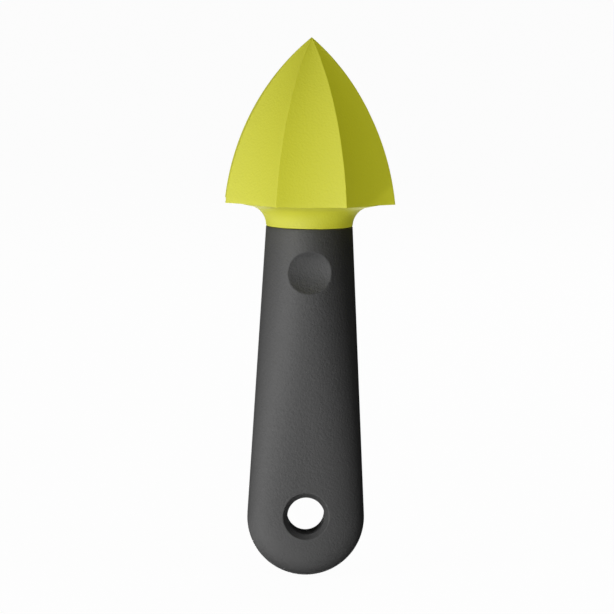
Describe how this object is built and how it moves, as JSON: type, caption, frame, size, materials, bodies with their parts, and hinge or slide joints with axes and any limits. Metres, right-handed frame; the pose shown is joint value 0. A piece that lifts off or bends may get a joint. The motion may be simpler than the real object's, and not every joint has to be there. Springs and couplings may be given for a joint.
{
  "type": "hand lemon squeezer",
  "caption": "Hand citrus reamer: a pointed cone with concave flutes on a flared neck, pressed onto a flat tapering soft-grip handle with a thumb dimple and a hang hole.",
  "frame": {"origin": "centre of the hang hole, half way through the handle's thickness, on the tool's long axis", "axes": "+Z along the tool towards the tip of the cone, -Y out of the face with the thumb dimple, X across the handle"},
  "size_m": [0.05, 0.05, 0.1599],
  "materials": {
    "cone_plastic": "fine-grained matte lime moulding",
    "collar_plastic": "fine-grained matte lime moulding",
    "core_plastic": "plain stiff moulding, hidden inside the grip",
    "grip_rubber": "fine-grained soft-touch charcoal skin"
  },
  "bodies": {
    "root": {"reamer_cone": "cone_plastic", "neck_collar": "collar_plastic", "handle_core": "core_plastic", "handle_grip": "grip_rubber"}
  },
  "joints": []
}
